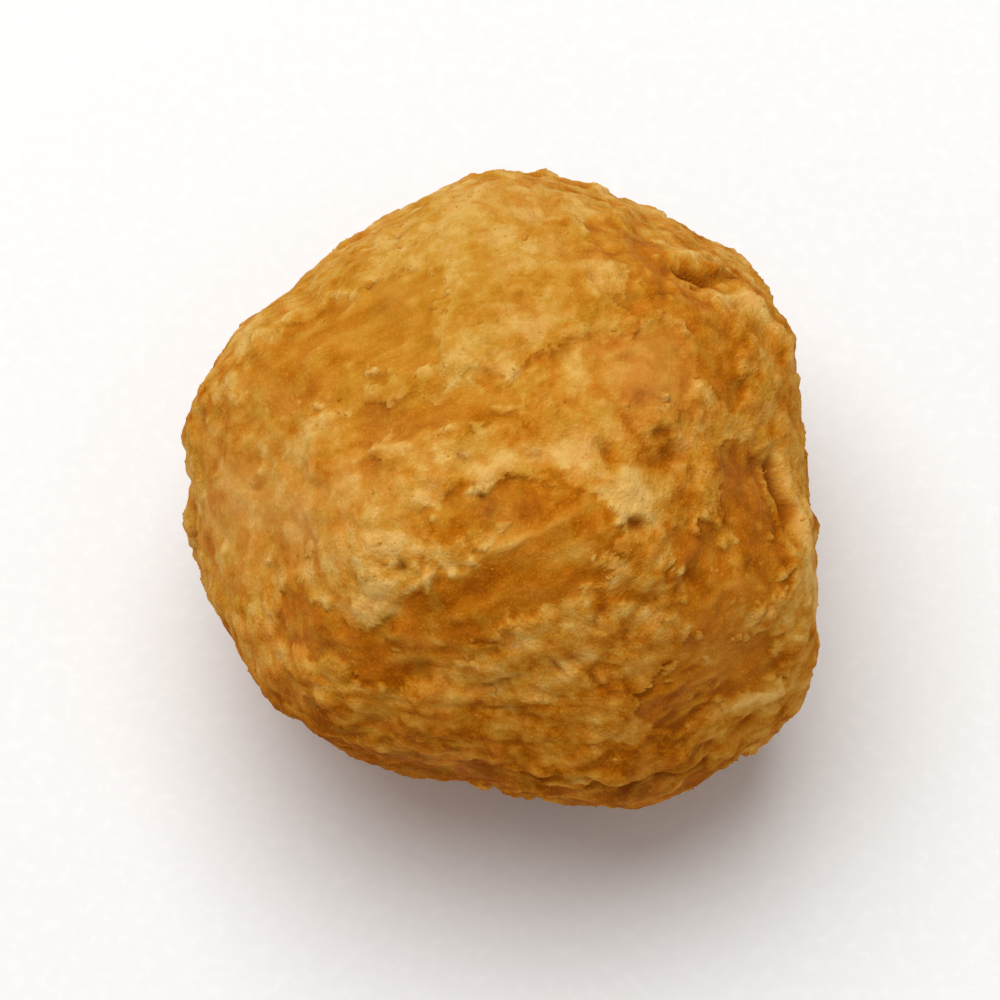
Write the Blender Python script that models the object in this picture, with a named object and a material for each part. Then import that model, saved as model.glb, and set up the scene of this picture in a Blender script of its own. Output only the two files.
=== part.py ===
"""A lump of jaggery: unrefined cane sugar, pressed into a rough ball by hand while still warm.

The lump is one solid. Its form is worked out from its heart, a point near the middle. Each press
of the palm or the fingers is a plane at some distance from the heart, and where two presses meet,
the warm sugar rolls into a soft edge. Finger dents, folds where the mass closed over itself, and
the unevenness of the grain are then taken from or added to that form. A slab cuts the flat spot
on which the lump rests.

+X is right, +Y is back and +Z is up. The origin is at the bottom centre of the lump.
Places on the lump are given as a heading, in degrees from +X towards +Y, and a rise above level.
"""

import math

import bmesh
import bpy
import numpy as np
from mathutils import Vector, noise

MM = 0.001

# Driving dimensions, in millimetres.
MEAN_RADIUS = 25.0
HEART_HEIGHT = 21.2
EDGE_HARDNESS = 20
GRAIN_HEIGHT = 0.55
GRAIN_SPACING = 8.5
SWELL_HEIGHT = 0.5
SWELL_SPACING = 19.0
NOISE_SEED_POINT = Vector((3.7, 1.9, 8.2))

SPHERE_SUBDIVISIONS = 6
KEPT_TRIANGLES = 0.4

# Each press: heading, rise, and how far the pressed face lies from the heart.
PRESSES = {
    "back": (95, 30, 27.4),
    "back_edge": (92, 6, 27.2),
    "back_right": (60, 30, 25.4),
    "right_shoulder": (25, 15, 27.0),
    "right": (5, 0, 22.9),
    "front_right_low": (-30, -5, 29.0),
    "front_right": (-60, -20, 26.7),
    "front": (-100, -15, 22.3),
    "front_edge": (-97, 13, 24.4),
    "front_left": (-135, -20, 23.0),
    "left_low": (-155, -5, 24.9),
    "left": (175, 0, 25.5),
    "left_shoulder": (155, 15, 27.2),
    "back_left": (130, 25, 24.1),
    "crown": (-170, 76, 24.5),
    "right_face": (-15, 48, 25.0),
    "apron": (-95, 38, 24.0),
    "brow": (70, 62, 25.5),
    "left_face": (-155, 32, 24.5),
    "cheek": (-55, 20, 25.5),
    "left_brow": (140, 55, 25.5),
    "top": (20, 82, 24.8),
    "seat": (0, -90, 22.5),
    "under_right": (30, -35, 24.0),
    "under_left": (145, -35, 23.0),
    "under_back": (85, -20, 24.0),
    "under_front_right": (-40, -55, 25.0),
    "under_front_left": (-140, -45, 23.0),
    "heel_right": (20, -66, 23.5),
    "heel_left": (165, -64, 23.0),
    "heel_front": (-90, -66, 23.5),
    "heel_back": (95, -60, 23.5),
}

# Each dent: heading, rise, radius and depth. A negative depth is a bump.
DENTS = {
    "left_thumb": (-172, 42, 5.5, 0.7),
    "middle_finger": (-95, 62, 5.0, 0.5),
    "right_hollow": (-2, 36, 5.0, 0.8),
    "front_notch": (-98, 2, 4.0, 1.0),
    "chin": (-72, 0, 5.0, -0.9),
    "back_thumb": (112, -12, 6.0, 1.0),
    "back_finger": (62, -8, 5.0, 0.8),
    "left_finger": (165, -18, 5.5, 0.8),
    "right_finger": (-5, -22, 5.0, 0.8),
    "front_finger": (-115, -32, 5.0, 0.7),
}

# Each fold: the places it runs through, its width and depth, and the height of the lip beside it.
FOLDS = {
    "flap": (((44, 52), (33, 44), (22, 40), (12, 33)), 1.3, 1.1, 0.6),
    "heart_crack": (((-42, 69), (-28, 62), (-15, 56), (-3, 51)), 0.9, 0.9, 0.25),
    "right_notch": (((-8, 38), (-12, 33), (-21, 29)), 1.1, 1.4, 0.3),
    "chin_fold": (((-96, 8), (-84, 4), (-70, 6), (-58, 1)), 1.2, 1.3, 0.6),
    "back_long_crack": (((150, 12), (135, 2), (118, -2), (102, -15)), 1.2, 1.6, 0.5),
    "back_short_crack": (((88, 26), (78, 16), (73, 5)), 0.9, 1.0, 0.4),
    "left_crack": (((-164, -16), (-171, -4), (-172, 6), (179, 16)), 1.0, 1.1, 0.3),
    "right_low_crack": (((15, 0), (6, -12), (3, -28)), 1.0, 1.2, 0.4),
    "front_low_crack": (((-138, -12), (-122, -20), (-104, -23), (-90, -34)), 1.0, 1.2, 0.4),
    "back_low_crack": (((72, -20), (58, -29), (43, -32)), 1.0, 1.2, 0.4),
}
LIP_OFFSET_WIDTHS = 1.6
FOLD_END_SHARE = 0.15
FOLD_TAPER = 4.0

SEAT_SLAB = 60.0

SUGAR_BROWN = (0.485, 0.188, 0.022, 1.0)
SUGAR_ROUGHNESS = 0.62


def direction(heading, rise):
    """The unit vector that points from the heart to a place."""
    level = math.cos(math.radians(rise))
    return np.array(
        (
            level * math.cos(math.radians(heading)),
            level * math.sin(math.radians(heading)),
            math.sin(math.radians(rise)),
        )
    )


def clear_scene():
    for obj in list(bpy.data.objects):
        bpy.data.objects.remove(obj, do_unlink=True)


def pressed_reach(rays):
    """How far the pressed form lies from the heart along each ray, with softly rolled edges."""
    pushes = [np.clip(rays @ direction(h, r), 0, None) / reach for h, r, reach in PRESSES.values()]
    return (np.array(pushes) ** EDGE_HARDNESS).sum(axis=0) ** (-1 / EDGE_HARDNESS)


def uneven_height(ray):
    """The lump's broad swells and the coarser clots of its grain, at one ray."""
    place = Vector(ray) * MEAN_RADIUS
    swell = noise.noise(place / SWELL_SPACING + NOISE_SEED_POINT)
    clots = noise.fractal(place / GRAIN_SPACING + NOISE_SEED_POINT, 1.0, 2.0, 3)
    return SWELL_HEIGHT * swell + GRAIN_HEIGHT * clots


def dent_depth(rays, heading, rise, radius, depth):
    away = MEAN_RADIUS * np.linalg.norm(rays - direction(heading, rise), axis=1)
    return depth * np.exp(-((away / radius) ** 2))


def fold_height(rays, places, width, depth, lip):
    """A groove through the places, with the lip of sugar that was pushed up on its left side."""
    points = [MEAN_RADIUS * direction(*place) for place in places]
    spots = MEAN_RADIUS * rays
    nearest = np.full(len(rays), np.inf)
    signed = np.zeros(len(rays))
    for start, end in zip(points, points[1:]):
        run = end - start
        along = np.clip((spots - start) @ run / (run @ run), 0, 1)
        gap = spots - start - along[:, None] * run
        distance = np.linalg.norm(gap, axis=1)
        side = np.sign(gap @ np.cross(start, run))
        signed = np.where(distance < nearest, side * distance, signed)
        nearest = np.minimum(nearest, distance)
    ends = np.minimum(
        np.linalg.norm(spots - points[0], axis=1), np.linalg.norm(spots - points[-1], axis=1)
    )
    strength = FOLD_END_SHARE + (1 - FOLD_END_SHARE) * np.clip(ends / FOLD_TAPER, 0, 1)
    groove = depth * np.exp(-((nearest / width) ** 2))
    ridge = lip * np.exp(-((signed / width - LIP_OFFSET_WIDTHS) ** 2))
    return strength * (ridge - groove)


def sugar_material():
    material = bpy.data.materials.new("unrefined_sugar")
    material.use_nodes = True
    finish = material.node_tree.nodes["Principled BSDF"]
    finish.inputs["Base Color"].default_value = SUGAR_BROWN
    finish.inputs["Roughness"].default_value = SUGAR_ROUGHNESS
    finish.inputs["Metallic"].default_value = 0.0
    return material


def add_lump():
    """The whole lump, before the slab cuts its flat spot, with the origin at its bottom centre."""
    ball = bmesh.new()
    bmesh.ops.create_icosphere(ball, subdivisions=SPHERE_SUBDIVISIONS, radius=1.0)
    rays = np.array([vertex.co.normalized() for vertex in ball.verts])
    reach = pressed_reach(rays)
    reach += np.array([uneven_height(ray) for ray in rays])
    for dent in DENTS.values():
        reach -= dent_depth(rays, *dent)
    for fold in FOLDS.values():
        reach += fold_height(rays, *fold)
    points = rays * reach[:, None]
    middle = (points.min(axis=0) + points.max(axis=0)) / 2
    points += np.array((-middle[0], -middle[1], HEART_HEIGHT))
    for vertex, point in zip(ball.verts, points):
        vertex.co = Vector(point) * MM
    mesh = bpy.data.meshes.new("jaggery_lump")
    ball.to_mesh(mesh)
    ball.free()
    mesh.shade_smooth()
    mesh.materials.append(sugar_material())
    lump = bpy.data.objects.new("jaggery_lump", mesh)
    bpy.context.scene.collection.objects.link(lump)
    thin = lump.modifiers.new("thin_out_flat_areas", "DECIMATE")
    thin.ratio = KEPT_TRIANGLES
    return lump


def add_seat_cutter():
    """The slab below z = 0, which takes off the lump's rounded underside."""
    slab = bmesh.new()
    bmesh.ops.create_cube(slab, size=SEAT_SLAB * MM)
    bmesh.ops.translate(slab, verts=slab.verts, vec=(0, 0, -SEAT_SLAB * MM / 2))
    mesh = bpy.data.meshes.new("seat_cutter")
    slab.to_mesh(mesh)
    slab.free()
    cutter = bpy.data.objects.new("seat_cutter", mesh)
    cutter.hide_render = True
    cutter.display_type = "WIRE"
    bpy.context.scene.collection.objects.link(cutter)
    return cutter


def main():
    clear_scene()
    lump = add_lump()
    seat = lump.modifiers.new("flat_seat", "BOOLEAN")
    seat.operation = "DIFFERENCE"
    seat.object = add_seat_cutter()


main()
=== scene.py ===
# %% [markdown]
# # A lump of jaggery
#
# Jaggery is cane juice boiled down until it sets. While it is still warm it is scooped up and
# pressed in the hand. The palm leaves smooth, waxy, orange-brown skin where it slid. Between those
# places the sugar dries pale and crumbles into grains, and where the mass closed over itself it
# leaves folds and cracks.
#
# The fixed frame holds the lump's true size and its large form as a coarse solid. This script
# gives that solid its real surface. It never changes the size.

import math

import bmesh
import bpy
import numpy as np
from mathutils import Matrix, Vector, noise
from mathutils.bvhtree import BVHTree


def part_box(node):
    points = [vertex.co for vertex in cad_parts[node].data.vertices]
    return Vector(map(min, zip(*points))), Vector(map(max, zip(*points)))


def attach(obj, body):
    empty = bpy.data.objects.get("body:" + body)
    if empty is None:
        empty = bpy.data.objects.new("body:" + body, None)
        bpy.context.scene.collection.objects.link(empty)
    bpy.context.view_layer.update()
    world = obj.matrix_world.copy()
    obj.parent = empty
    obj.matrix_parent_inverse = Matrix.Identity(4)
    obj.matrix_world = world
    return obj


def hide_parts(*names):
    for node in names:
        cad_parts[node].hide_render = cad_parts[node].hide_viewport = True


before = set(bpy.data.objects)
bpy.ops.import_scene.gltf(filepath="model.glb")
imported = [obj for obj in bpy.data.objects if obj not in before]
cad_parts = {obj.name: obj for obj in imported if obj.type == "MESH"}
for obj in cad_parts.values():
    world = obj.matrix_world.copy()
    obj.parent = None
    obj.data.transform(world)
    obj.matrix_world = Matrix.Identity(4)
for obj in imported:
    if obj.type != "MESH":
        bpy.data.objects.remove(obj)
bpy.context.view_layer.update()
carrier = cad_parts["jaggery_lump"]
low, high = (np.array(corner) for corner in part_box("jaggery_lump"))
MM = 0.001
print("the lump measures", np.round((high - low) / MM, 1), "mm")

# %% [markdown]
# ## Naming a place on the lump
#
# A ball has no left edge to measure from, so a place on it is named as on a globe: a heading, in
# degrees from +X towards +Y, and a rise above level, both seen from the lump's heart. A line on
# the lump, such as a crack or the path of a sliding finger, is then a few places in a row.

# %% The heart, and places seen from it
HEART = np.array(((low[0] + high[0]) / 2, (low[1] + high[1]) / 2, low[2] + 21.2 * MM))
MEAN_RADIUS = 25.0
VIEW_RISE = 68.0


def direction(heading, rise):
    """The unit vector from the heart towards a place."""
    level = math.cos(math.radians(rise))
    across = math.radians(heading)
    return np.array((level * math.cos(across), level * math.sin(across), math.sin(math.radians(rise))))


TOWARDS_VIEWER = direction(-90, VIEW_RISE)
print("the viewer looks from", np.round(TOWARDS_VIEWER, 2))

# %% [markdown]
# ## Rays from the heart
#
# The surface is found by sending rays out from the heart and noting where each leaves the coarse
# solid. The rays are the corners of a cube that is cut into a fine grid and blown up into a ball.
# A plain UV sphere would crowd its points at the poles. The grid's spacing is evened out with a
# tangent, and the rays are then leaned a little towards the top, so that more of them land on the
# faces that are looked at most and fewer under the lump.

# %% Make the rays
GRID = 128
LEAN = 0.2


def grid_ball():
    """A cube of GRID x GRID squares a side: its corners as unit rays, and its squares."""
    block = bmesh.new()
    bmesh.ops.create_cube(block, size=2.0)
    bmesh.ops.subdivide_edges(block, edges=block.edges[:], cuts=GRID - 1, use_grid_fill=True)
    corners = np.array([corner.co for corner in block.verts])
    squares = np.array([[corner.index for corner in face.verts] for face in block.faces])
    block.free()
    rays = np.tan(corners * math.pi / 4)
    rays /= np.linalg.norm(rays, axis=1, keepdims=True)
    rays += LEAN * direction(-90, 75)
    return rays / np.linalg.norm(rays, axis=1, keepdims=True), squares


rays, squares = grid_ball()
print(len(rays), "rays and", len(squares), "squares")

# %% Find where each ray leaves the coarse solid
solid = BVHTree.FromPolygons(
    [carrier.matrix_world @ vertex.co for vertex in carrier.data.vertices],
    [tuple(polygon.vertices) for polygon in carrier.data.polygons],
)
reach = np.array([solid.ray_cast(HEART, ray)[3] for ray in rays.tolist()]) / MM
print("the surface is", reach.min().round(1), "to", reach.max().round(1), "mm from the heart")

# %% [markdown]
# ## Smoothing
#
# The coarse solid has flat triangles a millimetre or two across. Averaging each ray's reach with
# its neighbours', again and again, melts their edges away and leaves the form. The same averaging
# is used later to tell hollows from humps: a point that lies below the average around it is in a
# hollow.

# %% Average over neighbours
edges = np.unique(
    np.sort(np.concatenate([squares[:, [i, (i + 1) % 4]] for i in range(4)]), axis=1), axis=0
)
neighbours = np.bincount(edges.ravel(), minlength=len(rays))


def averaged(values, times):
    """The values, each blended half and half with its neighbours' mean, this many times."""
    for _ in range(times):
        sums = np.bincount(edges[:, 0], values[edges[:, 1]], len(rays))
        sums += np.bincount(edges[:, 1], values[edges[:, 0]], len(rays))
        values = (values + sums / neighbours) / 2
    return values


MELT_TIMES = 26
form = averaged(reach, MELT_TIMES)
spots = rays * form[:, None]
print("melting moved the surface by up to", np.abs(form - reach).max().round(2), "mm")

# %% [markdown]
# ## Unevenness
#
# Two kinds of unevenness make up the whole surface. A rolling one, fractal noise, warps edges and
# swells faces. A clotted one, from Voronoi cells, makes rounded grains that touch along creases,
# as damp sugar does. Both are worked out in the solid's own space, so nothing stretches.

# %% Helpers for unevenness
NOISE_SEED = 4
noise.seed_set(NOISE_SEED)


def rolling(points, spacing, octaves=3, shift=0.0, fade=1.0):
    """Fractal noise, from about -1 to 1, with swells this many millimetres apart.

    A low fade keeps the finer octaves strong, which makes it rougher."""
    places = (points / spacing + shift).tolist()
    return np.array([noise.fractal(place, fade, 2.0, octaves) for place in places])


def drift(points, spacing, amount, shift=0.0):
    """The points, each pushed aside by up to about the amount, in millimetres."""
    places = (points / spacing + shift).tolist()
    return points + amount * np.array([noise.noise_vector(place) for place in places])


def clots(points, spacing, shift=0.0):
    """Voronoi cells: distances to the nearest and second seeds, in cells, a number per cell, its seed."""
    found = [noise.voronoi(place) for place in (points / spacing + shift).tolist()]
    nearest = np.array([distances[0] for distances, _ in found])
    second = np.array([distances[1] for distances, _ in found])
    seeds = np.array([seeds[0] for _, seeds in found])
    number = np.sin(seeds @ (12.99, 78.23, 37.72)) * 43758.5 % 1.0
    return nearest, second, number, (seeds - shift) * spacing


def ramp(values, start, end):
    """0 below start, 1 above end, and a smooth climb between."""
    share = np.clip((values - start) / (end - start), 0, 1)
    return share * share * (3 - 2 * share)


def bell(values, width):
    return np.exp(-((values / width) ** 2))


warped = drift(drift(spots, 4.5, 1.1), 1.4, 0.45, 5.0)
print("edges wander by up to", np.abs(warped - spots).max().round(2), "mm")

# %% [markdown]
# ## Lines on the lump
#
# A crack, a ridge and the path of a finger are all the same thing: a line through a few places,
# with something that happens near it. So one helper measures how far each point is from a line,
# and on which side. It uses the warped points, which makes every edge wander like a real one.

# %% Distance from a line through places
def on_ball(points):
    """The points, moved along their rays onto a ball of the mean radius."""
    return points / np.linalg.norm(points, axis=1, keepdims=True) * MEAN_RADIUS


warped_rays = on_ball(warped)


def from_line(places, points=warped_rays):
    """Each point's distance to the line, with a minus on its right side, and to the nearer end."""
    marks = [MEAN_RADIUS * direction(*place) for place in places]
    nearest = np.full(len(points), np.inf)
    signed = np.full(len(points), np.inf)
    for start, end in zip(marks, marks[1:]):
        run = end - start
        along = np.clip((points - start) @ run / (run @ run), 0, 1)
        gap = points - start - along[:, None] * run
        distance = np.linalg.norm(gap, axis=1)
        side = np.where(gap @ np.cross(start, run) < 0, -1, 1)
        signed = np.where(distance < nearest, side * distance, signed)
        nearest = np.minimum(nearest, distance)
    ends = np.minimum(*(np.linalg.norm(points - mark, axis=1) for mark in (marks[0], marks[-1])))
    return signed, ends


print("a line's distances run from the line out to", MEAN_RADIUS * 2, "mm")

# %% [markdown]
# ## Skin and crust
#
# Skin is where the palm and fingers slid. On the side that shows most, each patch is listed
# as the path of a finger: the places it ran through, half its width, and how dark the wax
# came out. Crust bands are listed the same way and win over skin. On the other sides the rule is
# the one that drying follows: the skin cracks into plates, and crust shows between them.

# %% Where the hand left skin, and where the crust broke through
SKINS = {
    "upper_left_palm": (((171, 46), (157, 56), (137, 65)), 3.6, 0.72),
    "upper_left_heel": (((177, 50), (167, 64), (151, 74)), 2.0, 0.62),
    "middle_band": (((-165, 65), (-157, 76), (-124, 85)), 1.9, 0.7),
    "left_thumb": (((-161, 19), (-159, 37), (-155, 55)), 4.6, 0.2),
    "left_edge": (((-178, 27), (-174, 44)), 3.0, 0.25),
    "long_diagonal": (((-110, 38), (-102, 46), (-90, 53), (-72, 59), (-61, 60)), 3.1, 0.95),
    "upper_branch": (((-113, 62), (-94, 66), (-72, 67)), 1.5, 0.65),
    "lower_left": (((-137, 30), (-126, 35), (-112, 34)), 2.3, 1.0),
    "lower_right": (((-56, 22), (-42, 19)), 3.2, 0.9),
    "right_brow": (((27, 52), (10, 49)), 2.6, 0.7),
    "flap_tongue": (((53, 48), (43, 55), (33, 60)), 1.6, 0.75),
    "pale_cheek": (((6, 79), (9, 61)), 3.0, 0.15),
    "right_flank": (((-14, 42), (-30, 31)), 2.9, 0.8),
    "right_flank_low": (((-39, 45), (-45, 31)), 2.8, 0.75),
    "back_right": (((70, 46), (51, 53)), 2.4, 0.6),
}
CRUSTS = {
    "back_top": (((106, 21), (94, 46), (74, 47)), 3.6, 0.2),
    "back_top_inner": (((108, 57), (80, 63), (59, 61)), 2.6, 0.12),
    "heart": (((-97, 74), (-76, 75), (-56, 74), (-44, 71)), 1.3, 0.4),
    "heart_right": (((-51, 62), (-35, 59)), 1.5, 0.4),
    "middle": (((147, 80), (58, 82), (53, 71)), 1.8, 0.15),
    "left_rim": (((176, 11), (-173, 2), (-155, 12)), 2.0, 0.1),
    "left_grains": (((-125, 57), (-113, 57)), 0.8, 0.2),
    "left_grains_low": (((-128, 49), (-121, 47), (-121, 41)), 1.2, 0.15),
    "front_streaks": (((-89, 32), (-76, 37), (-62, 40)), 1.6, 0.15),
    # The right rim's pale band is partly paler crust and partly a painted highlight along the rim.
    "right_rim": (((-14, 27), (-21, 23), (-23, 13), (-20, -4)), 1.5, 0.35),
}
NO_SKIN = -3.0
CRUST_PULL = 1.0


def skin_around(points):
    """How far inside the placed skin each point is, in millimetres, and how dark the wax is there."""
    inside = np.full(len(points), NO_SKIN)
    dark_here = np.zeros(len(points))
    for places, half_width, dark in SKINS.values():
        this_one = half_width - np.abs(from_line(places, points)[0])
        dark_here = np.where(this_one > inside, dark, dark_here)
        inside = np.maximum(inside, this_one)
    for places, half_width, _ in CRUSTS.values():
        band = half_width - np.abs(from_line(places, points)[0])
        inside -= CRUST_PULL * np.clip(band + 0.8, 0, 3)
    return inside, dark_here


CHIP = 1.5
*_, chip_number, chip_middle = clots(drift(spots, 1.6, 0.5, 8.0), CHIP, 6.0)
skin_inside, skin_dark = skin_around(warped_rays)
skin_inside = 0.4 * skin_inside + 0.6 * skin_around(on_ball(chip_middle))[0]
skin_inside += 0.9 * rolling(spots, 3.4, 4, 41.0) + 0.5 * (chip_number - 0.5)
print("placed skin covers", f"{(skin_inside > 0).mean():.0%}", "of the lump")

# %% Cracked plates of skin on the sides that show less
PLATE_SPACING = 10.5
PLATE_GAP = 0.7
flattened = drift(spots, 6.0, 2.2, 2.0)
nearest, second, plate_number, _ = clots(flattened, PLATE_SPACING, 4.0)
plate_inside = (second - nearest) * PLATE_SPACING / 2 - PLATE_GAP - 2.6 * (plate_number < 0.28)
plate_inside += 1.1 * rolling(spots, 3.2, 3, 7.0)
seen = ramp(rays @ TOWARDS_VIEWER, 0.02, 0.28)
aside = 1 - seen
inside_skin = seen * skin_inside + aside * plate_inside
dark_wax = seen * skin_dark + aside * (0.3 + 0.7 * (plate_number * 7.7 % 1.0))
pocks = ramp(rolling(spots, 1.5, 3, 43.0), 0.42, 0.62)
inside_skin -= 1.6 * pocks
blur = 0.12 + 0.5 * ramp(rolling(spots, 5.0, 2, 45.0), -0.1, 0.5)
skin = ramp(inside_skin / blur, -0.8, 1.0)
print("with the plates, skin covers", f"{(skin > 0.5).mean():.0%}")

# %% [markdown]
# ## The crust's grain
#
# Crust is sugar that dried into clots: big ones two millimetres across, made of smaller ones.
# Each size is a layer of Voronoi domes. Rolling noise turns the layers up and down, because
# some stretches are fine and powdery and others coarse.

# %% Raise the clots
CRUST_STEP = 0.16
grainy = drift(spots, 0.9, 0.3, 3.0)
big, _, big_number, _ = clots(grainy, 2.3, 1.0)
middle, _, middle_number, _ = clots(grainy, 1.2, 2.0)
small, _, small_number, _ = clots(grainy, 0.68, 3.0)
coarse = ramp(rolling(spots, 6.0, 2, 9.0), -0.35, 0.35) * (1 + 0.7 * aside)
crust_height = (
    CRUST_STEP
    + 0.4 * (0.35 + coarse) * (0.4 - np.minimum(big, 0.8) ** 2)
    + 0.26 * (0.4 + coarse) * (0.35 - np.minimum(middle, 0.75) ** 2)
    + 0.17 * (0.35 - np.minimum(small, 0.75) ** 2)
    + 0.22 * rolling(spots, 2.6, 4, 11.0)
)
print("crust stands", crust_height.min().round(2), "to", crust_height.max().round(2), "mm")

# %% [markdown]
# ## Facets
#
# A squeezed lump isn't round like a pebble. It keeps small flat faces where the mass gave way in
# one piece. Voronoi cells do it again: each cell tilts its own way, and the step that this leaves
# at a border is melted a little.

# %% Tilt the facets
def facets(spacing, slope, shift, melted):
    """A height that is flat in each cell, tilted a different way in each."""
    *_, number, seeds = clots(drift(spots, spacing * 0.6, spacing * 0.12, shift), spacing, shift)
    turn = number * 2 * math.pi
    tilt = np.stack((np.cos(turn), np.sin(turn), np.cos(3 * turn)), axis=1)
    return averaged(slope * ((spots - seeds) * tilt).sum(axis=1), melted)


facet_height = facets(5.5, 0.075, 15.0, 14) + facets(2.4, 0.075, 16.0, 4)
print("facets stand", facet_height.min().round(2), "to", facet_height.max().round(2), "mm")

# %% [markdown]
# ## The skin's slide marks
#
# A sliding finger combs the warm sugar into fine parallel marks. They are made by squeezing the
# space of the noise: long along the slide and short across it. The hand turned as it closed, so
# the marks run slantwise over the top, upright down the right side and level along the front.

# %% Comb the skin
def combed(along, spacing, stretch, shift):
    """Noise drawn out along one direction, as fine marks this far apart."""
    along = np.array(along) / np.linalg.norm(along)
    lengthwise = (spots @ along)[:, None] * along
    squeezed = (spots - lengthwise) + lengthwise / stretch
    return rolling(drift(squeezed, 3.0, 0.35, shift), spacing, 3, shift)


slant = combed((0.89, 0.42, 0.17), 1.3, 9.0, 21.0)
upright = combed((0.1, -0.25, -0.96), 1.5, 7.0, 22.0)
level = combed((1.0, 0.12, 0.0), 0.9, 11.0, 23.0)
on_right = ramp(rays[:, 0], 0.55, 0.8)
on_front = ramp(-rays[:, 1] - 0.3 * rays[:, 2], 0.35, 0.65) * (1 - on_right)
marks = on_right * upright + 1.5 * on_front * level + (1 - on_right - on_front) * slant
scratches = bell(marks, 0.035) * ramp(rolling(spots, 4.0, 2, 24.0), 0.0, 0.4)
skin_height = 0.13 * marks + 0.09 * rolling(spots, 2.4, 2, 13.0) + 0.05 * rolling(spots, 0.8, 2, 14.0)
print("slide marks are", (0.17 * np.ptp(marks)).round(2), "mm deep at most")

# %% [markdown]
# ## Ridges, cracks and pits
#
# Last come the single marks. A ridge is a thin line of sugar that stands up. A crack is a narrow
# cut with one side a little higher, deepest at its middle. A pit is a hole left by a bubble or
# by a grain that fell out. The larger folds are already in the coarse solid. They are cut again
# here, where melting softened them.

# %% Single marks, by name
RIDGES = {
    "diagonal": (((-120, 48), (-111, 52), (-101, 56), (-94, 60), (-84, 62), (-63, 63)), 0.45, 0.3),
    "streak": (((-151, 59), (-146, 72), (-131, 81)), 0.4, 0.22),
    "high_streak": (((174, 71), (159, 76)), 0.4, 0.22),
    "back_right_rim": (((81, 27), (72, 22), (64, 20), (57, 16)), 0.6, 0.35),
    "flap_lip": (((31, 52), (29, 45), (27, 39), (20, 36), (15, 31), (10, 23)), 0.55, 0.4),
    "flap_tongue": (((45, 47), (42, 37), (41, 28)), 0.7, 0.35),
    "right_rim": (((-14, 29), (-21, 23), (-23, 13)), 0.5, 0.3),
}
CRACKS = {
    "flap": (((39, 49), (34, 42), (33, 33)), 0.5, 1.1, 0.2),
    "tongue": (((43, 51), (34, 54), (26, 57)), 0.4, 0.35, 0.1),
    "heart": (((-27, 65), (-20, 62), (-14, 58), (-5, 56)), 0.35, 0.26, 0.08),
    "right_side": (((-5, 36), (-13, 31), (-20, 28)), 0.4, 0.8, 0.15),
    "chin": (((-88, 9), (-76, 10), (-63, 2), (-53, 1)), 0.5, 0.9, 0.25),
    "back_long": (((150, 12), (135, 2), (118, -2), (102, -15)), 0.4, 0.7, 0.15),
    "back_short": (((88, 26), (78, 16), (73, 5)), 0.4, 0.8, 0.25),
    "left": (((-164, -16), (-171, -4), (-172, 6), (179, 16)), 0.3, 0.6, 0.0),
    "right_low": (((15, 0), (6, -12), (3, -28)), 0.4, 0.9, 0.2),
    "front_low": (((-138, -12), (-122, -20), (-104, -23), (-90, -34)), 0.35, 0.9, 0.2),
    "back_low": (((72, -20), (58, -29), (43, -32)), 0.4, 0.9, 0.2),
    "back_branch": (((128, 1), (124, 14), (114, 24)), 0.3, 0.6, 0.1),
    "right_branch": (((7, -12), (22, -20), (30, -30)), 0.3, 0.6, 0.1),
    "layer_high": (((-128, 22), (-112, 27), (-93, 27), (-77, 29)), 0.35, 0.2, 0.1),
    "layer_middle": (((-118, 0), (-103, 19), (-86, 18), (-68, 19)), 0.35, 0.22, 0.1),
    "layer_low": (((-125, -8), (-107, -4), (-87, 8)), 0.35, 0.22, 0.1),
}
PITS = {
    "heart": (-36, 68, 0.85, 0.8),
    "heart_right": (-48, 57, 0.7, 0.75),
    "left_grains": (-121, 53, 0.5, 0.5),
    "middle": (-96, 68, 0.4, 0.6),
    "chin": (-54, 5, 1.2, 0.9),
}
END_TAPER = 2.5


def ridge_height(places, width, height):
    signed, ends = from_line(places)
    return height * bell(signed, width) * ramp(ends, -0.5, END_TAPER)


UNEVEN = 0.5 + 0.5 * ramp(rolling(spots, 2.2, 3, 33.0), -0.4, 0.3)


def crack_height(places, width, depth, lip):
    signed, ends = from_line(places)
    there = UNEVEN * ramp(ends, -0.5, END_TAPER)
    cut = depth * bell(signed, width * (0.6 + 0.6 * UNEVEN))
    return there * (lip * bell(signed - 2.2 * width, 1.2 * width) - cut)


# A mask of the ridges, used only for their colour: they are made paler, partly as paler sugar and partly as a painted
# highlight along their crests.
ridge_paleness_and_highlight = sum(ridge_height(places, width, 1.0) for places, width, _ in RIDGES.values())
single_marks = sum(ridge_height(*ridge) for ridge in RIDGES.values())
single_marks += sum(crack_height(*crack) for crack in CRACKS.values())
fold_open = ramp(averaged(form, 200) - form, 0.2, 0.7)
cut_open = np.clip(fold_open - single_marks / 0.4, 0, 1)


unit_rays = warped_rays / MEAN_RADIUS


def from_ray(ray):
    """Each warped point's distance to the place where a ray comes out, in millimetres."""
    return MEAN_RADIUS * np.sqrt(np.maximum(2 - 2 * unit_rays @ ray, 0))


def from_place(heading, rise):
    return from_ray(direction(heading, rise))


for heading, rise, radius, depth in PITS.values():
    single_marks -= depth * bell(from_place(heading, rise), radius)
print(len(RIDGES), "ridges,", len(CRACKS), "cracks and", len(PITS), "pits")
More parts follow.
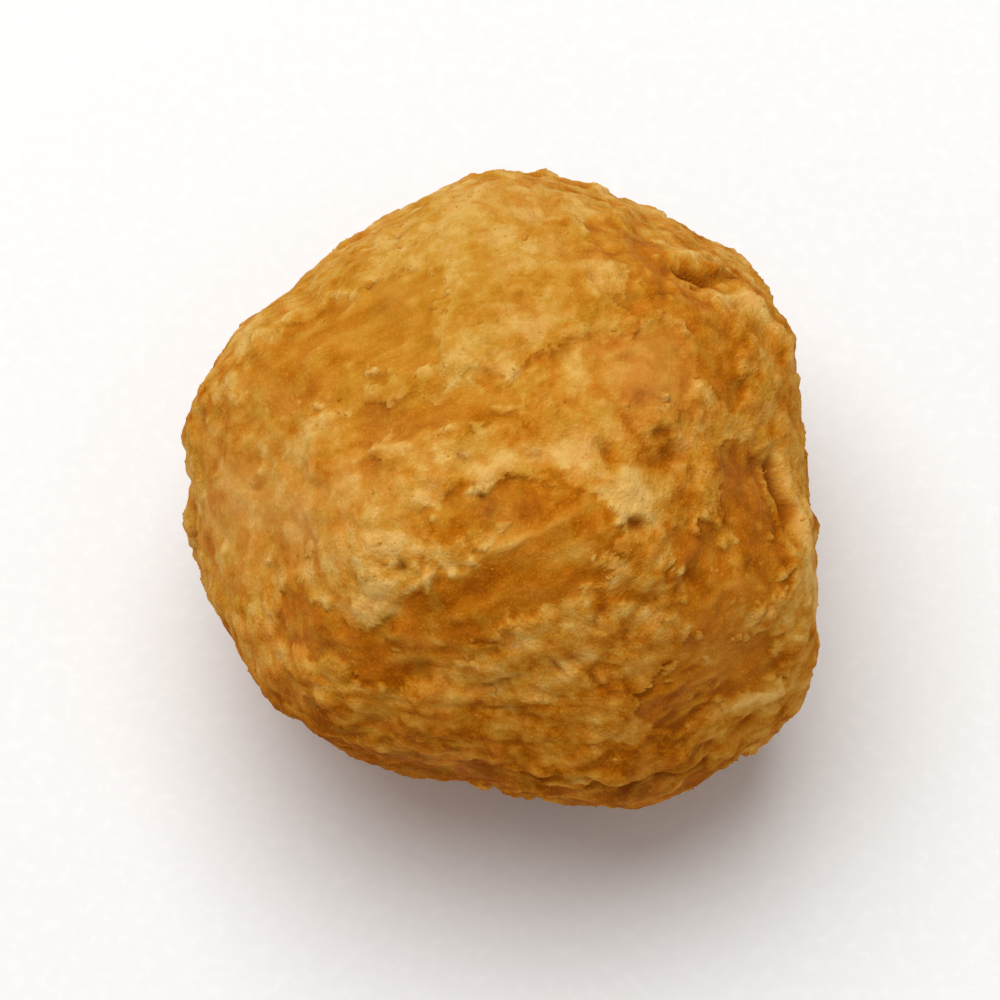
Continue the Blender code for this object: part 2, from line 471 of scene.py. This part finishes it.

# %% [markdown]
# ## Flecks
#
# Grains of paler sugar were pressed into the skin while it was soft. They are a millimetre across,
# stand up a little and are the brightest spots on the lump. The clearest are listed one by one. The
# others are scattered.

# %% Press in the flecks
FLECKS = {
    "left_high": (176, 43, 0.5, 0.8),
    "left_bright": (-173, 57, 0.8, 1.0),
    "left_low": (-172, 41, 0.5, 0.6),
    "left_thumb": (-151, 47, 0.6, 0.7),
    "middle_band": (169, 84, 0.9, 0.8),
    "top_streak": (114, 64, 0.9, 0.7),
    "top_left": (121, 52, 1.4, 0.6),
    "left_yellow": (158, 41, 1.2, 0.6),
    "heart_low": (-100, 69, 0.7, 0.9),
    "grains_high": (-124, 57, 0.7, 0.8),
    "grains_middle": (-127, 50, 0.9, 0.7),
    "grains_low": (-123, 43, 0.8, 0.8),
    "grains_left": (-141, 41, 0.7, 0.6),
    "front_left": (-135, 24, 0.8, 0.8),
    "front": (-114, 35, 0.9, 0.9),
    "front_patch": (-86, 43, 1.1, 0.6),
    "front_patch_right": (-77, 42, 1.3, 0.5),
    "diagonal_end": (-68, 57, 1.2, 0.8),
    "cream": (-41, 62, 1.4, 1.0),
    "white_bar": (-119, 57, 0.8, 0.9),
    "under_cream": (-50, 50, 0.7, 0.8),
    "flank": (-49, 36, 0.6, 0.8),
    "flank_low": (-43, 9, 1.6, 0.5),
    "chin": (-51, 6, 0.9, 0.6),
    # ridge_right, ridge_left, flap_lip, right_edge and right_rim sit on rims and lips: their paleness is partly pale
    # sugar and partly a painted highlight.
    "ridge_right": (60, 20, 1.0, 1.0),
    "ridge_left": (77, 13, 1.2, 0.9),
    "flap_lip": (32, 42, 1.0, 0.9),
    "right_edge": (24, 9, 1.0, 0.8),
    "right_speck": (-12, 30, 0.7, 0.8),
    "right_rim": (-19, 23, 1.1, 0.9),
}
SMALL_FLECKS = 420
fleck_chance = np.random.default_rng(5)
fleck = np.zeros(len(rays))
for heading, rise, radius, strength in FLECKS.values():
    fleck = np.maximum(fleck, strength * bell(from_place(heading, rise), radius))
for middle_ray in rays[fleck_chance.choice(len(rays), SMALL_FLECKS, replace=False)]:
    strength, radius = fleck_chance.uniform(0.3, 0.9), fleck_chance.uniform(0.25, 0.6)
    fleck = np.maximum(fleck, strength * bell(from_ray(middle_ray), radius))
print(len(FLECKS) + SMALL_FLECKS, "flecks cover", f"{(fleck > 0.4).mean():.1%}")

# %% [markdown]
# ## Hairline cracks
#
# Drying leaves many short cracks too fine to place by hand. Each starts somewhere on the lump and
# wanders a few millimetres, turning a little at each step.

# %% Scatter hairline cracks
HAIRLINES = 46
chance = np.random.default_rng(11)


def wandering_line():
    """Places along a short line that starts anywhere and turns a little at each step."""
    here = chance.normal(size=3)
    here /= np.linalg.norm(here)
    heading = np.cross(here, chance.normal(size=3))
    heading /= np.linalg.norm(heading)
    step = chance.uniform(0.045, 0.1)
    places = []
    for _ in range(4):
        places.append((math.degrees(math.atan2(here[1], here[0])), math.degrees(math.asin(here[2]))))
        sideways = np.cross(here, heading)
        heading = heading + chance.uniform(-0.6, 0.6) * sideways
        here = here + step * heading / np.linalg.norm(heading)
        here /= np.linalg.norm(here)
    return places


for _ in range(HAIRLINES):
    line = wandering_line()
    single_marks += crack_height(line, chance.uniform(0.15, 0.24), chance.uniform(0.15, 0.4), 0.05)
print(HAIRLINES, "hairline cracks")

# %% [markdown]
# ## The finished surface
#
# The layers are added up and the points set at their new reach. Whatever would hang below the
# ground is pressed flat, as the warm lump was when it was set down. What each point is (skin or
# crust, hollow or hump, dark wax or pale) is stored on the mesh for the material to read.

# %% Add up the layers
torn_edge = 0.14 * bell(inside_skin + 0.2, 0.25) * ramp(rolling(spots, 2.0, 2, 31.0), -0.2, 0.3)
relief = (skin * skin_height + (1 - skin) * crust_height - torn_edge) * (1 - 0.85 * cut_open)
relief += single_marks + facet_height + 0.14 * fleck
relief -= relief.mean()
points = HEART / MM + rays * (form + relief)[:, None]
points[:, 2] = np.maximum(points[:, 2], low[2] / MM)
hollow = (form + relief) - averaged(form + relief, 14)
deep = (form + relief) - averaged(form + relief, 160)
print("relief runs from", relief.min().round(2), "to", relief.max().round(2), "mm")

# %% [markdown]
# ## How dry each place is, and painted shade
#
# The sugar's colour follows how dry it is, from 0 for damp dark wax to 1 for pale dust.
# Skin is damp and crust is dry. Over that lies a mosaic of small clots that each dried their own
# way, long soft clouds, the slide marks and the flecks. Painted shade is added to the same number:
# the underside is made darker all round, and the front near the ground, the slot, the crease across
# the heart and the flap beside the slot darker still. The ridges and the rims on the right are made
# paler, partly as a painted highlight.

# %% Add up the dryness and the painted shade
# Soft patches that shift the dryness. Most are tone; those marked below are painted shade.
TONE_AND_SHADE_CLOUDS = {
    "top": (114, 62, 10, 0.11),
    "top_middle": (62, 60, 7, -0.06),
    "middle": (-10, 82, 4.5, 0.09),
    "left": (-165, 38, 11, 0.2),
    "heart": (-60, 76, 6, -0.03),
    "heart_right": (-22, 58, 7, -0.12),
    "front": (-100, 12, 10, -0.06),
    # Painted shade: the front near the ground is made darker.
    "front_low": (-105, -2, 11, -0.5),
    "front_right_low": (-65, -2, 9, -0.4),
    "right": (-20, 25, 9, -0.1),
    # Painted shade: the flap beside the slot, where the surface turns away from the lamp, and the slot itself are
    # made darker.
    "flap": (26, 34, 6, -0.12),
    "slot_left": (38, 48, 1.3, -0.35),
    "slot": (34, 42, 1.4, -0.45),
    "slot_right": (33, 33, 1.3, -0.35),
    # Painted shade: the crease across the heart is made darker.
    "crease_start": (-24, 64, 0.8, -0.25),
    "crease_middle": (-17, 60, 0.9, -0.3),
    "crease_end": (-8, 57, 0.9, -0.3),
    "diagonal": (-95, 47, 4, -0.04),
    "below_diagonal": (-65, 41, 4.0, -0.33),
    "diagonal_middle": (-78, 51, 3, 0.15),
    "diagonal_low": (-104, 39, 3, 0.2),
    "lower_right": (-45, 24, 4.5, 0.2),
    "pit_right": (-29, 70, 2.5, -0.12),
    # Painted shade: the front near the ground is made darker.
    "front_left_low": (-128, 5, 8, -0.25),
}
# Painted shade: how much darker the underside is made.
SHADE_PAINTED_BELOW = 0.3
pale_band = sum(pale * bell(from_line(places)[0], width) for places, width, pale in CRUSTS.values())
mosaic = 0.45 * middle_number + 0.35 * chip_number + 0.2 * small_number - 0.5
dry = skin * (0.49 - 0.29 * dark_wax) + (1 - skin) * (0.55 + pale_band + 0.1 * aside)
dry += (0.5 * mosaic + 0.3 * rolling(spots, 2.6, 4, 51.0, 0.4)) * (1 - skin * (0.85 * dark_wax + 0.15 * aside))
dry += 0.3 * (big_number - 0.5) * aside * (1 - skin)
# Slide marks, flecks, scratches and ridges shift the dryness. The ridges and the flecks along the rims are made paler
# partly as a painted highlight.
dry += 0.14 * np.clip(marks, -0.8, 0.8) + 0.4 * fleck + 0.2 * scratches + 0.3 * ridge_paleness_and_highlight
for heading, rise, radius, amount in TONE_AND_SHADE_CLOUDS.values():
    dry += amount * bell(from_place(heading, rise), radius)
# Painted shade: the underside is made darker, the more so the further down it faces.
dry -= SHADE_PAINTED_BELOW * ramp(-rays[:, 2], -0.3, 0.6)
print("dryness runs from", np.percentile(dry, 2).round(2), "to", np.percentile(dry, 98).round(2))

# %% Build the mesh and store what each point is
def mesh_piece(name, points_mm, faces):
    """A smooth-shaded mesh object from points in millimetres."""
    mesh = bpy.data.meshes.new(name)
    mesh.from_pydata((points_mm * MM).tolist(), [], faces.tolist())
    mesh.update()
    mesh.shade_smooth()
    piece = bpy.data.objects.new(name, mesh)
    bpy.context.scene.collection.objects.link(piece)
    return piece


def store(piece, name, values):
    layer = piece.data.attributes.new(name, "FLOAT", "POINT")
    layer.data.foreach_set("value", np.asarray(values, np.float32))


lump = mesh_piece("pressed_sugar_surface", points, squares)
store(lump, "skin", skin)
# hollow and deep are read by the finish only to paint shade into hollows and folds.
store(lump, "hollow", ramp(-hollow, 0.02, 0.3))
store(lump, "hump", ramp(hollow, 0.0, 0.22))
store(lump, "deep", ramp(-deep, 0.15, 0.9))
store(lump, "dry", np.clip(dry, 0, 1))
hue = rolling(warped, 1.8, 3, 61.0, 0.6)
front_right = bell(from_place(-58, 33), 12.0)
store(lump, "reddish", ramp(hue, 0.1, 0.6))
olive = ramp(-hue, 0.1, 0.6) * (1 - front_right) + bell(from_place(114, 64), 12.0)
store(lump, "olive", np.clip(olive, 0, 1))
blush = sum(bell(from_place(*place), 3.5) for place in ((3, 64), (-150, 44), (-165, 30)))
blush += 0.4 * ramp(rolling(spots, 7.0, 2, 62.0), 0.1, 0.6) * (1 - front_right)
store(lump, "blush", np.clip(blush, 0, 1))
print("stored", len(lump.data.attributes), "layers on", len(points), "points")

# %% [markdown]
# ## Crumbs
#
# Loose crumbs and grains cling to the crust, thickest along the torn edges of the skin, and a few
# lie on the skin itself. They are real meshes: a small ball whose points are pushed in and out at
# random, squashed, turned and half sunk into the surface.

# %% Scatter the crumbs
normals = np.empty(len(points) * 3, np.float32)
lump.data.vertex_normals.foreach_get("vector", normals)
normals = normals.reshape(-1, 3)
edge_of_skin = bell(inside_skin, 0.8)
above_ground = points[:, 2] > low[2] / MM + 0.6


def ball(subdivisions):
    """A small icosphere of radius 1: its corners and its triangles."""
    seed = bmesh.new()
    bmesh.ops.create_icosphere(seed, subdivisions=subdivisions, radius=1.0)
    corners = np.array([corner.co for corner in seed.verts])
    triangles = np.array([[corner.index for corner in face.verts] for face in seed.faces])
    seed.free()
    return corners, triangles


def scatter(name, count, smallest, largest, subdivisions, likely, sunk):
    """One joined mesh of crumbs, each turned, squashed and sunk its own way."""
    corners, triangles = ball(subdivisions)
    where = chance.choice(len(points), count, replace=False, p=likely / likely.sum())
    radii = smallest * (largest / smallest) ** (chance.random(count) ** 2)
    turns = np.linalg.qr(chance.normal(size=(count, 3, 3)))[0]
    squash = chance.uniform(0.55, 1.1, (count, 1, 3))
    lumpy = chance.uniform(0.72, 1.15, (count, len(corners), 1))
    shapes = np.einsum("nij,nkj->nki", turns, corners[None] * lumpy * squash)
    centres = points[where] - (sunk * radii)[:, None] * normals[where]
    all_points = (centres[:, None] + shapes * radii[:, None, None]).reshape(-1, 3)
    all_points[:, 2] = np.maximum(all_points[:, 2], low[2] / MM)
    all_faces = (triangles[None] + np.arange(count)[:, None, None] * len(corners)).reshape(-1, 3)
    flip = np.linalg.det(turns) < 0
    all_faces = np.where(np.repeat(flip, len(triangles))[:, None], all_faces[:, ::-1], all_faces)
    piece = mesh_piece(name, all_points, all_faces)
    # Each crumb takes the lump's dryness where it sits, painted shade included.
    store(piece, "tone", np.repeat(0.35 * chance.random(count) + 0.65 * np.clip(dry, 0, 1)[where], len(corners)))
    print(name, "has", count, "crumbs and", len(all_faces), "triangles")
    return piece


on_crust = (1 - skin) * (0.25 + coarse)
crumb_likely = above_ground * (0.5 * on_crust + 0.6 * edge_of_skin + 0.012)
grain_likely = above_ground * (on_crust + 0.5 * edge_of_skin + 0.03)
crumbs = scatter("crumbs", 520, 0.18, 0.5, 2, crumb_likely, 0.5)
grains = scatter("fine_grains", 6000, 0.08, 0.2, 1, grain_likely, 0.4)

# %% [markdown]
# ## Finishes
#
# Colours are given as they look to the eye, in sRGB, and turned into the linear values that the
# renderer adds up. The grain is one node group, because the lump and its crumbs share it. It gives
# a height for the bump and a pale speckle for the colour.

# %% Colours and node helpers
def linear(red, green, blue):
    """An sRGB colour, 0 to 255, as a linear RGBA value."""
    parts = [value / 255 for value in (red, green, blue)]
    return (*(p / 12.92 if p <= 0.04045 else ((p + 0.055) / 1.055) ** 2.4 for p in parts), 1.0)


DAMP_TO_DRY = (
    linear(148, 74, 1),
    linear(185, 106, 12),
    linear(203, 134, 39),
    linear(214, 156, 67),
    linear(229, 181, 99),
)
RED_SUGAR = linear(204, 112, 30)
OLIVE_SUGAR = linear(188, 146, 44)
BLUSH = linear(212, 142, 70)
# The dark brown of painted shade in deep folds.
CREVICE_PAINTED_SHADE = linear(128, 58, 4)
WARM_SHINE = linear(255, 190, 110)


def add(tree, kind, **settings):
    """A node, with its named inputs and properties set."""
    node = tree.nodes.new("ShaderNode" + kind)
    for name, value in settings.items():
        label = name.replace("_", " ")
        if hasattr(node, name):
            setattr(node, name, value)
        elif hasattr(value, "is_output"):
            tree.links.new(value, node.inputs[label])
        else:
            node.inputs[label].default_value = value
    return node


def stored(tree, name):
    return add(tree, "Attribute", attribute_name=name).outputs["Fac"]


def mixed(tree, share, first, second):
    """One colour blended towards another. Each is a socket or a colour."""
    node = add(tree, "Mix", data_type="RGBA")
    for slot_number, value in ((0, share), (6, first), (7, second)):
        if hasattr(value, "is_output"):
            tree.links.new(value, node.inputs[slot_number])
        else:
            node.inputs[slot_number].default_value = value
    return node.outputs[2]


def sums(tree, operation, first, second, clamp=False):
    """The outcome of a Math node on two sockets or numbers."""
    node = add(tree, "Math", operation=operation, use_clamp=clamp)
    for slot_number, value in enumerate((first, second)):
        if hasattr(value, "is_output"):
            tree.links.new(value, node.inputs[slot_number])
        else:
            node.inputs[slot_number].default_value = value
    return node.outputs[0]


def between(tree, value, start, end, low_value=0.0, high_value=1.0):
    node = add(tree, "MapRange", Value=value, From_Min=start, From_Max=end)
    node.inputs["To Min"].default_value = low_value
    node.inputs["To Max"].default_value = high_value
    return node.outputs["Result"]


print("colours and helpers are ready")

# %% The sugar grain, as a node group
def grain_group():
    """Fine sugar grain: a height and a speckle, in object space, at a size in metres."""
    group = bpy.data.node_groups.new("sugar_grain", "ShaderNodeTree")
    face = group.interface
    face.new_socket("Grain Size", in_out="INPUT", socket_type="NodeSocketFloat")
    face.new_socket("Height", in_out="OUTPUT", socket_type="NodeSocketFloat")
    face.new_socket("Speckle", in_out="OUTPUT", socket_type="NodeSocketFloat")
    face.new_socket("Mottle", in_out="OUTPUT", socket_type="NodeSocketFloat")
    entry = group.nodes.new("NodeGroupInput")
    leave = group.nodes.new("NodeGroupOutput")
    place = add(group, "TexCoord").outputs["Object"]
    per_metre = sums(group, "DIVIDE", 1.0, entry.outputs["Grain Size"])
    cells = add(group, "TexVoronoi", Vector=place, Scale=per_metre)
    fine = add(group, "TexNoise", Vector=place, Scale=sums(group, "MULTIPLY", per_metre, 1.7), Detail=3.0)
    broad = add(group, "TexNoise", Vector=place, Scale=sums(group, "MULTIPLY", per_metre, 0.16), Detail=4.0)
    dome = sums(group, "SUBTRACT", 1.0, cells.outputs["Distance"])
    height = sums(group, "ADD", sums(group, "MULTIPLY", dome, 0.6), sums(group, "MULTIPLY", fine.outputs["Fac"], 0.7))
    group.links.new(height, leave.inputs["Height"])
    group.links.new(between(group, fine.outputs["Fac"], 0.5, 0.68), leave.inputs["Speckle"])
    group.links.new(between(group, broad.outputs["Fac"], 0.36, 0.64), leave.inputs["Mottle"])
    return group


sugar_grain = grain_group()
print("the group", sugar_grain.name, "gives", [s.name for s in sugar_grain.interface.items_tree])


def grain_in(tree, size):
    node = tree.nodes.new("ShaderNodeGroup")
    node.node_tree = sugar_grain
    node.inputs["Grain Size"].default_value = size
    return node


def new_material(name):
    material = bpy.data.materials.new(name)
    material.use_nodes = True
    return material, material.node_tree, material.node_tree.nodes["Principled BSDF"]


# %% From damp wax to dry dust
def sugar_colours(tree, dryness):
    """The colour of jaggery from 0, damp dark wax, to 1, dry pale sugar."""
    node = add(tree, "ValToRGB", Fac=dryness)
    stops = node.color_ramp.elements
    stops[0].color, stops[1].color = DAMP_TO_DRY[0], DAMP_TO_DRY[-1]
    for step, colour in enumerate(DAMP_TO_DRY[1:-1], 1):
        stops.new(step / (len(DAMP_TO_DRY) - 1)).color = colour
    return node.outputs["Color"]


# %% The lump's finish
def lump_finish():
    material, tree, shader = new_material("pressed_sugar")
    grain = grain_in(tree, 0.34 * MM)
    skin_here = stored(tree, "skin")
    soft_edge = sums(tree, "ADD", skin_here, between(tree, grain.outputs["Mottle"], 0, 1, -0.25, 0.25))
    skin_mask = between(tree, soft_edge, 0.3, 0.7)
    speck = between(tree, grain.outputs["Speckle"], 0, 1, -0.05, 0.14)
    mottle = between(tree, grain.outputs["Mottle"], 0, 1, -0.1, 0.1)
    dryness = sums(tree, "ADD", sums(tree, "ADD", stored(tree, "dry"), speck), mottle)
    dryness = sums(tree, "ADD", dryness, sums(tree, "MULTIPLY", stored(tree, "hump"), 0.16))
    colour = sugar_colours(tree, dryness)
    for layer, share, tint in (("reddish", 0.22, RED_SUGAR), ("olive", 0.3, OLIVE_SUGAR), ("blush", 0.35, BLUSH)):
        colour = mixed(tree, sums(tree, "MULTIPLY", stored(tree, layer), share), colour, tint)
    # Painted shade: hollows are pulled towards the damp colour and deep folds towards a dark crevice brown.
    colour = mixed(tree, sums(tree, "MULTIPLY", stored(tree, "hollow"), 0.35), colour, DAMP_TO_DRY[0])
    colour = mixed(tree, sums(tree, "MULTIPLY", stored(tree, "deep"), 0.8), colour, CREVICE_PAINTED_SHADE)
    tree.links.new(colour, shader.inputs["Base Color"])
    rough = between(tree, skin_mask, 0, 1, 0.85, 0.6)
    tree.links.new(rough, shader.inputs["Roughness"])
    amount = between(tree, skin_mask, 0, 1, 1.0, 0.5)
    bump = add(tree, "Bump", Strength=1.0, Distance=0.12 * MM)
    tree.links.new(sums(tree, "MULTIPLY", grain.outputs["Height"], amount), bump.inputs["Height"])
    tree.links.new(bump.outputs["Normal"], shader.inputs["Normal"])
    shader.inputs["Subsurface Weight"].default_value = 0.12
    shader.inputs["Subsurface Radius"].default_value = (1.0, 0.45, 0.15)
    shader.inputs["Subsurface Scale"].default_value = 0.9 * MM
    shader.inputs["Specular Tint"].default_value = WARM_SHINE
    shader.inputs["Specular IOR Level"].default_value = 0.04
    return material


lump.data.materials.append(lump_finish())
print("the lump's finish has", len(lump.data.materials[0].node_tree.nodes), "nodes")

# %% The crumbs' finish
def crumb_finish():
    material, tree, shader = new_material("loose_sugar")
    grain = grain_in(tree, 0.22 * MM)
    tone = between(tree, stored(tree, "tone"), 0, 1, 0.25, 0.85)
    tone = sums(tree, "ADD", tone, between(tree, grain.outputs["Speckle"], 0, 1, -0.1, 0.15))
    tree.links.new(sugar_colours(tree, tone), shader.inputs["Base Color"])
    shader.inputs["Roughness"].default_value = 0.7
    bump = add(tree, "Bump", Strength=1.0, Distance=0.08 * MM, Height=grain.outputs["Height"])
    tree.links.new(bump.outputs["Normal"], shader.inputs["Normal"])
    shader.inputs["Subsurface Weight"].default_value = 0.12
    shader.inputs["Subsurface Radius"].default_value = (1.0, 0.45, 0.15)
    shader.inputs["Subsurface Scale"].default_value = 0.6 * MM
    shader.inputs["Specular Tint"].default_value = WARM_SHINE
    shader.inputs["Specular IOR Level"].default_value = 0.1
    return material


loose_sugar = crumb_finish()
for piece in (crumbs, grains):
    piece.data.materials.append(loose_sugar)
print("the crumbs' finish has", len(loose_sugar.node_tree.nodes), "nodes")

# %% [markdown]
# ## What rides on what
#
# Each piece is tied to the body it rides on, and the coarse solid that the new surface stands for
# is hidden.

# %% Tie the pieces to the frame
for piece in (lump, crumbs, grains):
    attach(piece, "root")
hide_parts("jaggery_lump")
print("three pieces ride on the root body")

# %% [markdown]
# ## Floor, light and camera
#
# The floor is a plain pale sheet. One large soft lamp stands high behind the left shoulder, so
# the shade falls to the right and front. The sky fills in weakly. A long lens from far away keeps
# the lump's proportions true.

# %% The floor
def floor_finish():
    material, tree, shader = new_material("pale_floor")
    grain = grain_in(tree, 2.0 * MM)
    tint = mixed(tree, grain.outputs["Speckle"], linear(247, 247, 246), linear(250, 250, 249))
    tree.links.new(tint, shader.inputs["Base Color"])
    shader.inputs["Roughness"].default_value = 0.9
    shader.inputs["Specular IOR Level"].default_value = 0.1
    return material


FLOOR_HALF = 1500.0
floor_corners = np.array([(x, y, low[2] / MM) for x, y in ((-1, -1), (1, -1), (1, 1), (-1, 1))])
floor_corners[:, :2] *= FLOOR_HALF
floor = mesh_piece("floor", floor_corners, np.array([[0, 1, 2, 3]]))
floor.data.materials.append(floor_finish())
print("the floor is", 2 * FLOOR_HALF / 1000, "m wide")

# %% The lamp and the sky
def soft_lamp(name, heading, rise, distance, size, watts):
    lamp = bpy.data.lights.new(name, "AREA")
    lamp.shape = "DISK"
    lamp.size = size
    lamp.energy = watts
    stand = bpy.data.objects.new(name, lamp)
    stand.location = Vector(HEART + distance * direction(heading, rise))
    stand.rotation_euler = (Vector(HEART) - stand.location).to_track_quat("-Z", "Y").to_euler()
    bpy.context.scene.collection.objects.link(stand)
    return stand


soft_lamp("key_lamp", 118, 75, 0.9, 0.8, 7.0)
world = bpy.data.worlds.new("studio_sky")
world.use_nodes = True
world.node_tree.nodes["Background"].inputs["Color"].default_value = (1.0, 1.0, 1.0, 1.0)
world.node_tree.nodes["Background"].inputs["Strength"].default_value = 0.37
bpy.context.scene.world = world
print("one lamp and the sky are lit")

# %% The camera
LENS = 150.0
SENSOR = 36.0
SHARE_OF_FRAME = 0.62
width_seen = (high[0] - low[0]) / SHARE_OF_FRAME
camera_distance = width_seen * LENS / SENSOR
camera_data = bpy.data.cameras.new("camera")
camera_data.lens = LENS
camera_data.sensor_width = SENSOR
camera = bpy.data.objects.new("camera", camera_data)
aim = Vector(HEART)
camera.location = aim + Vector(TOWARDS_VIEWER) * camera_distance
camera.rotation_euler = (aim - camera.location).to_track_quat("-Z", "Y").to_euler()
bpy.context.scene.collection.objects.link(camera)
bpy.context.scene.camera = camera
bpy.context.scene.view_settings.view_transform = "Standard"
print("the camera stands", round(camera_distance, 2), "m away")
